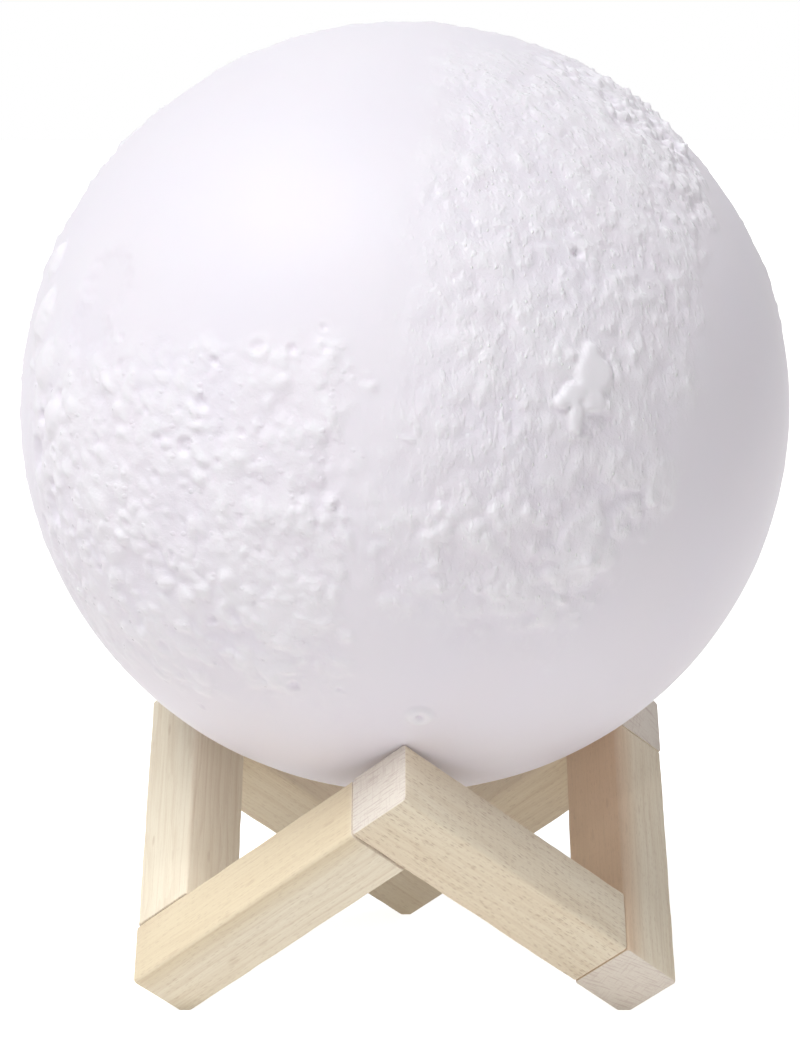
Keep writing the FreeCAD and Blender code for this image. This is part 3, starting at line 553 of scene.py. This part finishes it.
# Grooves: points along the line, half width, and depth
GROOVES = (
    (((-120.2, -7.2), (-120.5, -12.0), (-121.6, -15.5)), 0.5, 0.30),
    (((-119.4, 13.4), (-116.6, 11.6)), 0.6, 0.16),
    (((-108.8, 8.5), (-106.4, 6.0)), 0.6, 0.16),
)

MARK_AZIMUTH, MARK_LATITUDE = -87.4, -42.1
MARK_RADIUS, MARK_HEIGHT, MARK_HOLLOW = 2.75, 0.70, 0.20
PINHOLE_RADIUS, PINHOLE_DEPTH = 0.60, 1.0

# Where the globe rests on the bars' corners. The relief fades out round each of them.
SEATS = ((-90.0, -49.8), (30.0, -49.8), (150.0, -49.8))
SEAT_BARE_MM, SEAT_FADED_MM = 3.0, 11.0
RIM_BARE_MM, RIM_FADED_MM = 0.5, 5.0

# The lumpy region's soft borders at the front: where it starts, is full, fades and ends.
LUMPY_AZIMUTHS = (-168, -154, -99.5, -96.5)
LUMPY_LATITUDES = (-46, -29, 8, 19)

# The grained region's soft borders: its lower and upper ones as above, and its left and right
# ones as azimuths at six latitudes, with how far they are soft on each side.
GRAIN_ENDS = (-33, -17, 58, 78)
GRAIN_LATITUDES = (-32.0, -15.0, 5.0, 28.0, 45.0, 62.0)
GRAIN_LEFT = (-84.0, -93.0, -90.0, -87.0, -84.0, -80.0)
GRAIN_RIGHT = (-66.0, -53.0, -46.0, -34.0, -8.0, 20.0)

# Pits and dabs strewn over the lumpy parts
SCATTER_TRIES = 2600
SMALLEST_SPOT_MM = 0.55
PIT_SHARE = 0.45


def regions(surface):
    """Where the surface is lumpy, where it is grained and where it is crusted, each from 0 to 1."""
    directions, points = surface.directions, surface.points
    azimuth = np.degrees(np.arctan2(directions[:, 1], directions[:, 0]))
    latitude = np.degrees(np.arcsin(np.clip(directions[:, 2], -1, 1)))
    across = azimuth + 3.0 * layered(11, points, 9.0, 3)
    along = latitude + 4.5 * layered(21, points, 11.0, 3)
    lumpy_front = between(*LUMPY_AZIMUTHS, across) * between(*LUMPY_LATITUDES, along)
    left = np.interp(along, GRAIN_LATITUDES, GRAIN_LEFT)
    right = np.interp(along, GRAIN_LATITUDES, GRAIN_RIGHT)
    grained_front = (between(left - 9, left + 10, right - 5, right + 2, across)
                     * between(*GRAIN_ENDS, along))
    seas = layered(31, points, 62.0, 3, 0.55)
    lumpy_back = smooth(-0.02, 0.16, seas) * smooth(-52, -30, along)
    grained_back = smooth(0.04, 0.22, -seas) * smooth(-50, -30, along) * 0.8
    front = smooth(-0.06, 0.16, -directions[:, 1])
    lumpy = front * lumpy_front + (1 - front) * lumpy_back
    grained = front * grained_front + (1 - front) * grained_back
    crusted = front * grained_front * smooth(-46, -28, across) * smooth(14, 30, along)
    return lumpy, grained, crusted


def add_hill(surface, azimuth, latitude, wide, tall, turn, rise, edge):
    spots = surface.near(azimuth, latitude, max(wide, tall) * 1.5)
    right, above = surface.around(spots, azimuth, latitude, turn)
    away = np.hypot(right / wide, above / tall) + 0.16 * surface.crumple[spots]
    surface.height[spots] += rise * (1 - smooth(1 - edge, 1.0, away))


def add_crater(surface, azimuth, latitude, radius, depth, rim):
    spots = surface.near(azimuth, latitude, radius * 1.9)
    right, above = surface.around(spots, azimuth, latitude)
    away = np.hypot(right, above) / radius + 0.18 * surface.crumple[spots]
    bowl = -depth * (1 - smooth(0.30, 1.0, away))
    lip = rim * np.exp(-((away - 1.10) / 0.24) ** 2)
    surface.height[spots] += bowl + lip


def distance_to_path(points, ends):
    """Each point's distance to a chain of straight runs."""
    away = np.full(len(points), np.inf)
    for start, end in zip(ends, ends[1:]):
        span = end - start
        along = np.clip((points - start) @ span / (span @ span), 0, 1)
        away = np.minimum(away, np.linalg.norm(points - start - along[:, None] * span, axis=1))
    return away


def add_mass(surface, rise, edge, lobes):
    """Lobes run together into one flat-topped mass, which hides most of the small relief under it."""
    spots = surface.near(lobes[0][0], lobes[0][1], 40.0)
    bare = np.ones(len(spots))
    for azimuth, latitude, wide, tall, turn in lobes:
        right, above = surface.around(spots, azimuth, latitude, turn)
        away = np.hypot(right / wide, above / tall) + 0.14 * surface.crumple[spots]
        bare *= smooth(1 - edge, 1.0, away)
    surface.height[spots] = surface.height[spots] * (0.25 + 0.75 * bare) + rise * (1 - bare)
    surface.plain[spots] *= bare


def add_groove(surface, path, half_width, depth):
    middle = path[len(path) // 2]
    spots = surface.near(middle[0], middle[1], 14.0)
    ends = [heading(*point) * GLOBE_RADIUS_MM for point in path]
    away = distance_to_path(surface.points[spots], ends)
    width = half_width * (1 + 0.3 * surface.crumple[spots])
    surface.height[spots] -= depth * np.exp(-(away / width) ** 2)


def add_scattered(surface, lumpy, rng):
    """Pits and dabs scattered over the lumpy parts, and a few past their borders."""
    for _ in range(SCATTER_TRIES):
        x, y, z = surface.directions[int(rng.integers(len(surface.directions)))]
        azimuth, latitude = math.degrees(math.atan2(y, x)), math.degrees(math.asin(z))
        radius = SMALLEST_SPOT_MM / math.sqrt(rng.uniform(0.05, 1.0))
        share, turn, long = rng.uniform(0.12, 0.30), rng.uniform(0, 180), rng.uniform(0.6, 1.6)
        chance, pit = rng.uniform(), rng.uniform() < PIT_SHARE
        if chance > lumpy[surface.near(azimuth, latitude, 0.6)[0]] ** 0.7:
            continue
        if pit:
            add_crater(surface, azimuth, latitude, radius, share * radius * 1.3, share * radius * 0.3)
        else:
            add_hill(surface, azimuth, latitude, radius * long, radius / long, turn,
                     share * radius, 0.9)


def add_mark(surface):
    """The round moulding mark with its pinhole."""
    spots = surface.near(MARK_AZIMUTH, MARK_LATITUDE, MARK_RADIUS * 1.5)
    right, above = surface.around(spots, MARK_AZIMUTH, MARK_LATITUDE)
    away = np.hypot(right, above)
    flat = MARK_HEIGHT * (1 - smooth(MARK_RADIUS - 0.9, MARK_RADIUS + 0.3, away))
    hollow = MARK_HOLLOW * (1 - smooth(0.5, MARK_RADIUS - 1.0, away))
    hole = PINHOLE_DEPTH * (1 - smooth(PINHOLE_RADIUS * 0.4, PINHOLE_RADIUS + 0.25, away))
    surface.height[spots] = surface.height[spots] * 0.1 + flat - hollow - hole


def shape_relief(surface):
    """Sets the surface's height; returns how lumpy and how grained it is, from 0 to 1.

    Each term is a height in millimetres times noise. The size of its lumps or waves, also in
    millimetres, is what the points are divided by, or what layered() is given.
    """
    points = surface.points
    lumpy, grained, crusted = regions(surface)
    bent = points + 1.1 * np.column_stack([layered(seed, points, 6.0, 2) for seed in (131, 141, 151)])
    surface.height = 0.14 * layered(81, points, 34.0, 3)
    surface.height += lumpy * (0.80 * pebbles(91, bent / 4.2) + 0.46 * pebbles(92, bent / 2.3)
                               + 0.45 * layered(93, points, 9.0, 2))
    # the grain is drawn out upwards, comes in patches, and is coarser in the lower half
    upright = bent * np.array((1.0, 1.0, 0.62))
    patches = smooth(-0.35, 0.25, layered(121, points, 8.0, 2))
    low = smooth(-0.14, 0.21, -surface.directions[:, 2])
    surface.height += grained * (0.34 * patches * pebbles(94, upright / 1.7)
                                 + 0.34 * pebbles(95, upright / 3.0)
                                 + 0.38 * layered(125, points, 7.0, 2))
    surface.height += grained * low * (0.80 * pebbles(97, bent / 3.8)
                                       + 0.55 * layered(129, points, 9.0, 2))
    surface.height += crusted * (1.15 * pebbles(96, bent / 2.4)
                                 + 0.55 * layered(127, points, 5.0, 2))
    add_scattered(surface, lumpy, np.random.default_rng(7))
    for crater in CRATERS:
        add_crater(surface, *crater)
    for path, half_width, depth in GROOVES:
        add_groove(surface, path, half_width, depth)
    for mass in MASSES:
        add_mass(surface, *mass)
    for hill in HILLS:
        add_hill(surface, *hill)
    for azimuth, latitude in SEATS:
        cosine = np.clip(surface.directions @ heading(azimuth, latitude), -1, 1)
        surface.height *= smooth(SEAT_BARE_MM, SEAT_FADED_MM, GLOBE_RADIUS_MM * np.arccos(cosine))
    add_mark(surface)
    surface.height *= smooth(RIM_BARE_MM, RIM_FADED_MM, surface.from_rim)
    return lumpy * surface.plain, grained * surface.plain


# ---------------------------------------------------------------- globe

COLLAR_WALL_MM = 2.0
COLLAR_HEIGHT_MM = 12.5
FLANGE_WIDTH_MM = 2.0
INNER_RINGS = 40

MOON_WHITE = (0.885, 0.842, 0.915)
MOON_CLOUD = (0.895, 0.846, 0.905)
# Painted light and shade: the colour that the relief's high parts are painted, lighter than its hollows
MOON_RELIEF_PAINTED_LIGHT = (0.925, 0.895, 0.94)
# Painted highlight: the lighter colour painted on the grain's dashes and beads
MOON_DASH_PAINTED_HIGHLIGHT = (0.97, 0.95, 0.98)
# Painted glints: pure white
MOON_PAINTED_GLINT = (1.0, 1.0, 1.0)


def globe_shell():
    """The moulded shell: the relief outside, a plain sphere and the light unit's collar inside."""
    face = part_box("base_cover")[0].z - globe_centre.z
    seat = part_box("flange_seal")[1].z - globe_centre.z
    opening = math.sqrt((GLOBE_RADIUS_MM * MM) ** 2 - face ** 2)
    bore = opening - FLANGE_WIDTH_MM * MM
    collar = opening + COLLAR_WALL_MM * MM
    collar_top = face + COLLAR_HEIGHT_MM * MM
    inner = (GLOBE_RADIUS_MM - SHELL_WALL_MM) * MM

    surface = Surface(math.pi - math.asin(opening / (GLOBE_RADIUS_MM * MM)))
    lumpy, grained = shape_relief(surface)
    outside = surface.directions * (GLOBE_RADIUS_MM + surface.height)[:, None] * MM

    turns = np.arange(AROUND) * 2 * math.pi / AROUND
    circle = np.column_stack([np.cos(turns), np.sin(turns)])
    profile = [(opening, seat), (bore, seat), (bore, collar_top), (collar, collar_top)]
    profile += [(inner * math.sin(tilt), -inner * math.cos(tilt))
                for tilt in np.linspace(math.asin(collar / inner), math.pi, INNER_RINGS + 1)[:-1]]
    inside = np.concatenate([np.column_stack([circle * radius, np.full(AROUND, level)])
                             for radius, level in profile])
    top, bottom = [[0, 0, GLOBE_RADIUS_MM * MM]], [[0, 0, inner]]
    vertices = np.concatenate([top, outside, inside, bottom]) + np.array(globe_centre)

    ring_count = DOWN + len(profile)
    ring_starts = 1 + np.arange(ring_count - 1)[:, None] * AROUND
    here = np.arange(AROUND)
    after = (here + 1) % AROUND
    first, beside = ring_starts + here, ring_starts + after
    quads = np.stack([first, first + AROUND, beside + AROUND, beside], axis=2).reshape(-1, 4)
    last_ring = 1 + (ring_count - 1) * AROUND
    caps = [[0, 1 + a, 1 + b] for a, b in zip(here, after)]
    caps += [[last_ring + a, len(vertices) - 1, last_ring + b] for a, b in zip(here, after)]
    mesh = bpy.data.meshes.new("moon_globe")
    mesh.from_pydata(vertices.tolist(), [], quads.tolist() + caps)
    mesh.shade_smooth()
    mesh.set_sharp_from_angle(angle=math.radians(60))
    spare = len(vertices) - 1 - len(surface.points)
    for name, values in (("lumpy", lumpy), ("grained", grained), ("height", surface.height)):
        attribute = mesh.attributes.new(name, "FLOAT", "POINT")
        attribute.data.foreach_set("value", np.concatenate([[0.0], values, np.zeros(spare)]))
    piece = bpy.data.objects.new("moon_globe", mesh)
    bpy.context.scene.collection.objects.link(piece)
    piece.data.materials.append(moon_finish())
    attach(piece, "globe")
    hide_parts("globe_shell")


def moon_finish():
    """Satin, slightly translucent white moulding.

    The grained part has upright dashes and beads, painted lighter as a highlight, and small spots
    painted white as glints; the lumpy part has specks, and the tops of all of them are glossier than
    the rest. The relief's high parts are painted lighter and its hollows darker, as painted light and
    shade.
    """
    graph = material_graph("moon_shell_finish")
    lumpy, grained = graph.attribute("lumpy"), graph.attribute("grained")
    height = graph.attribute("height")
    own = graph.place()
    cloud = graph.noise(graph.place((0.05, 0.05, 0.05)), detail=3)
    colour = graph.mix(graph.spread(cloud, 0.3, 0.7), MOON_WHITE, MOON_CLOUD)
    # Painted light and shade: the relief's high parts are painted lighter and its hollows darker, as
    # light falling on the relief would show them
    colour = graph.mix(graph.spread(height, -0.3, 0.6), colour, MOON_RELIEF_PAINTED_LIGHT)

    dashes = graph.spread(graph.noise(graph.place((0.80, 0.80, 0.36)), 1.0, 1, 0.4), 0.52, 0.78)
    beads = graph.marks(graph.place((0.80, 0.80, 0.50), (5, 3, 1)), 0.42, 0.45)
    grain = graph.times(graph.larger(dashes, graph.times(beads, 0.8)), grained)
    # Small spots on the grained part, painted white as glints, and also bumped and glossier
    painted_glints = graph.times(graph.marks(graph.place((0.75, 0.75, 0.45), (9, 4, 6)), 0.20, 0.50), grained)
    specks = graph.times(graph.marks(graph.place((0.55, 0.55, 0.7), (2, 7, 4)), 0.40, 0.30), lumpy)
    pimples = graph.noise(own, 1.5, detail=2, roughness=0.6)
    rough_parts = graph.larger(lumpy, grained)
    # Painted highlight: the dashes and beads are painted lighter, as if they caught the light
    colour = graph.mix(graph.times(grain, 0.50), colour, MOON_DASH_PAINTED_HIGHLIGHT)
    # Painted glints: the spots are painted white
    colour = graph.mix(painted_glints, colour, MOON_PAINTED_GLINT)

    normal = graph.bump(graph.noise(own, 0.45, detail=4, roughness=0.6), 0.02)
    normal = graph.bump(grain, 0.11, normal)
    normal = graph.bump(painted_glints, 0.10, normal)
    normal = graph.bump(specks, 0.10, normal)
    normal = graph.bump(graph.times(graph.spread(pimples, 0.40, 0.75), rough_parts), 0.035, normal)
    small_tops = graph.times(pimples, graph.times(rough_parts, 0.5))
    tops = graph.larger(graph.larger(grain, painted_glints), graph.larger(specks, small_tops))
    roughness = graph.spread(tops, 0.1, 0.9, 0.50, 0.18)
    return graph.finish(Base_Color=colour, Roughness=roughness, Normal=normal,
                        Specular_IOR_Level=0.32, Subsurface_Weight=0.15, Subsurface_Scale=0.003,
                        Subsurface_Radius=(1.0, 0.8, 0.9))


# ---------------------------------------------------------------- small parts of the light unit


def moulded(name, colour, roughness=0.42, texture_mm=0.35, depth_mm=0.02, **extra):
    """Moulded plastic, rubber or resin: fine skin texture and slight clouding."""
    graph = material_graph(name)
    skin = graph.noise(graph.place(), 1 / texture_mm, detail=3)
    cloud = graph.noise(graph.place((0.08, 0.08, 0.08)), detail=2)
    tinted = graph.mix(graph.spread(cloud, 0.3, 0.7), colour, [channel * 0.93 for channel in colour])
    rough = graph.spread(skin, 0.3, 0.7, roughness - 0.05, roughness + 0.07)
    return graph.finish(Base_Color=tinted, Roughness=rough, Normal=graph.bump(skin, depth_mm), **extra)


def plated(name, colour, roughness=0.28):
    """Plated metal with fine scratches all one way."""
    graph = material_graph(name)
    scratches = graph.noise(graph.place((0.15, 4.0, 4.0)), detail=3)
    stain = graph.noise(graph.place((0.3, 0.3, 0.3)), detail=3)
    tinted = graph.mix(graph.spread(stain, 0.4, 0.7, 0.0, 0.35), colour, [c * 0.75 for c in colour])
    rough = graph.spread(scratches, 0.3, 0.7, roughness - 0.06, roughness + 0.12)
    return graph.finish(Base_Color=tinted, Roughness=rough, Metallic=1.0,
                        Normal=graph.bump(scratches, 0.008))


def printed_board(name, mask_colour, track_colour):
    """Solder mask over copper tracks, which show as a slightly lighter pattern."""
    graph = material_graph(name)
    cells = graph.add("TexVoronoi", {"Vector": graph.place((0.5, 0.5, 0.5))},
                      distance="CHEBYCHEV", feature="F1").outputs["Distance"]
    tracks = graph.times(graph.spread(cells, 0.40, 0.44), graph.spread(cells, 0.56, 0.52))
    weave = graph.noise(graph.place((3.0, 3.0, 3.0)), detail=1)
    colour = graph.mix(graph.times(tracks, 0.7), mask_colour, track_colour)
    colour = graph.mix(graph.spread(weave, 0.3, 0.7, 0.0, 0.12), colour, track_colour)
    return graph.finish(Base_Color=colour, Roughness=graph.spread(weave, 0.3, 0.7, 0.25, 0.36),
                        Normal=graph.bump(tracks, 0.03))


def inner_finishes():
    """A finish for every slot that the CAD nodes keep, by the slot's name."""
    return {
        "dowel_wood": beech("dowel_wood_finish", 0, 30, 5.0, 0.9, 0.5, 0.1),
        "white_plastic": moulded("white_plastic_finish", (0.86, 0.86, 0.85), 0.45),
        "button_plastic": moulded("button_plastic_finish", (0.88, 0.88, 0.88), 0.18, 0.8, 0.006),
        "seal_foam": moulded("seal_foam_finish", (0.76, 0.76, 0.74), 0.85, 0.25, 0.08),
        "screw_steel": plated("screw_steel_finish", (0.62, 0.62, 0.63)),
        "switch_plastic": moulded("switch_plastic_finish", (0.018, 0.018, 0.02), 0.40),
        "socket_metal": plated("socket_metal_finish", (0.70, 0.69, 0.67), 0.20),
        "circuit_board": printed_board("circuit_board_finish", (0.012, 0.085, 0.035),
                                       (0.05, 0.20, 0.07)),
        "capacitor_ceramic": moulded("capacitor_ceramic_finish", (0.34, 0.23, 0.13), 0.5),
        "light_pipe": moulded("light_pipe_finish", (0.90, 0.92, 0.92), 0.10, 1.2, 0.004,
                              Transmission_Weight=0.85, IOR=1.49),
        "lamp_resin": moulded("lamp_resin_finish", (0.86, 0.76, 0.34), 0.22),
        "light_board": printed_board("light_board_finish", (0.84, 0.84, 0.83), (0.72, 0.72, 0.71)),
        "frosted_plastic": moulded("frosted_plastic_finish", (0.88, 0.88, 0.88), 0.6, 0.2, 0.02,
                                   Transmission_Weight=0.35, IOR=1.5),
        "battery_wrap": plated("battery_wrap_finish", (0.55, 0.57, 0.60), 0.35),
        "red_wire": moulded("red_wire_finish", (0.42, 0.015, 0.012), 0.45),
        "black_wire": moulded("black_wire_finish", (0.014, 0.014, 0.015), 0.45),
    }


def finish_nodes():
    finishes = inner_finishes()
    for subpart in frame["record"]["subparts"]:
        finish = finishes.get(subpart["material_slot"])
        if finish is None:
            continue
        node = frame["nodes"][subpart["node"]]
        for slot in node.material_slots:
            slot.material = finish


# ---------------------------------------------------------------- studio and camera

CAMERA_LENS_MM = 163.6
SENSOR_WIDTH_MM = 36.0
CAMERA_ELEVATION = math.radians(8.32)
CAMERA_DISTANCE = 9.784 * CUBE_SIDE
CAMERA_RIGHT = -0.0135 * CUBE_SIDE
CAMERA_UP = 0.725 * CUBE_SIDE


def camera():
    """The photograph's view: straight from the front, slightly from above, with a long lens."""
    back = Vector((0, -math.cos(CAMERA_ELEVATION), math.sin(CAMERA_ELEVATION)))
    up = Vector((0, math.sin(CAMERA_ELEVATION), math.cos(CAMERA_ELEVATION)))
    middle = LOWEST_CORNER + Vector((0, 0, CUBE_SIDE))
    data = bpy.data.cameras.new("camera")
    data.lens = CAMERA_LENS_MM
    data.sensor_width = SENSOR_WIDTH_MM
    data.sensor_fit = "HORIZONTAL"
    eye = bpy.data.objects.new("camera", data)
    eye.location = middle + back * CAMERA_DISTANCE + up * CAMERA_UP + Vector((CAMERA_RIGHT, 0, 0))
    eye.rotation_euler = (math.pi / 2 - CAMERA_ELEVATION, 0, 0)
    bpy.context.scene.collection.objects.link(eye)
    bpy.context.scene.camera = eye


# Far soft lamps: the azimuth and elevation they shine from, how bright a white face square to them
# becomes, how many degrees across they are, and their colour.
LAMPS = {
    "key": (-137, 58, 0.82, 32, (0.97, 0.985, 1.0)),
    "rim": (34, 38, 0.13, 40, (1.0, 0.985, 0.995)),
    "front_fill": (-100, 0, 0.14, 60, (1.0, 0.98, 0.975)),
    "glint": (-72, 48, 0.06, 3, (1.0, 1.0, 1.0)),
}
AMBIENT_COLOUR = (1.0, 0.96, 0.99)
AMBIENT_STRENGTH = 0.07
SEEN_WHITE = (1.0, 1.0, 1.0)

# The floor's two tints, what it gives off to the object, what more the eye sees, and its half side
FLOOR_TINTS = ((0.80, 0.785, 0.775), (0.82, 0.805, 0.795))
FLOOR_GLOW_COLOUR = (1.0, 0.99, 0.98)
FLOOR_LIGHT = 0.15
FLOOR_GLOW = 0.70
FLOOR_HALF = 4.0


def soft_lamp(name, azimuth, elevation, brightness, across, colour):
    data = bpy.data.lights.new(name, "SUN")
    data.energy = brightness * math.pi
    data.angle = math.radians(across)
    data.color = colour
    lamp = bpy.data.objects.new(name, data)
    lamp.rotation_euler = Vector(heading(azimuth, elevation)).to_track_quat("Z", "Y").to_euler()
    bpy.context.scene.collection.objects.link(lamp)


def studio():
    """White surroundings, a pale floor that shows as white where it is lit, and soft lamps."""
    world = bpy.data.worlds.new("studio")
    bpy.context.scene.world = world
    graph = Graph(world)
    lit = graph.add("Background", {"Color": (*AMBIENT_COLOUR, 1.0), "Strength": AMBIENT_STRENGTH})
    seen = graph.add("Background", {"Color": (*SEEN_WHITE, 1.0), "Strength": 1.0})
    either = graph.add("MixShader", {0: graph.shown_rays(), 1: lit.outputs[0], 2: seen.outputs[0]})
    graph.add("OutputWorld", {"Surface": either.outputs[0]})

    graph = material_graph("floor_finish")
    speck = graph.noise(graph.place((0.1, 0.1, 0.1)), detail=3)
    tint = graph.mix(graph.spread(speck, 0.3, 0.7), *FLOOR_TINTS)
    plain = graph.add("BsdfDiffuse", {"Color": tint})
    strength = graph.math("ADD", FLOOR_LIGHT, graph.times(graph.shown_rays(), FLOOR_GLOW))
    glow = graph.add("Emission", {"Color": (*FLOOR_GLOW_COLOUR, 1.0), "Strength": strength})
    surface = graph.add("AddShader", {0: plain.outputs[0], 1: glow.outputs[0]})
    graph.add("OutputMaterial", {"Surface": surface.outputs[0]})
    mesh = bpy.data.meshes.new("floor")
    corners = [(-FLOOR_HALF, -FLOOR_HALF, 0), (FLOOR_HALF, -FLOOR_HALF, 0),
               (FLOOR_HALF, FLOOR_HALF, 0), (-FLOOR_HALF, FLOOR_HALF, 0)]
    mesh.from_pydata(corners, [], [(0, 1, 2, 3)])
    mesh.materials.append(graph.owner)
    floor = bpy.data.objects.new("floor", mesh)
    bpy.context.scene.collection.objects.link(floor)

    for name, lamp in LAMPS.items():
        soft_lamp(name, *lamp)


cradle()
globe_shell()
finish_nodes()
studio()
camera()
bpy.context.scene.view_settings.view_transform = "Standard"
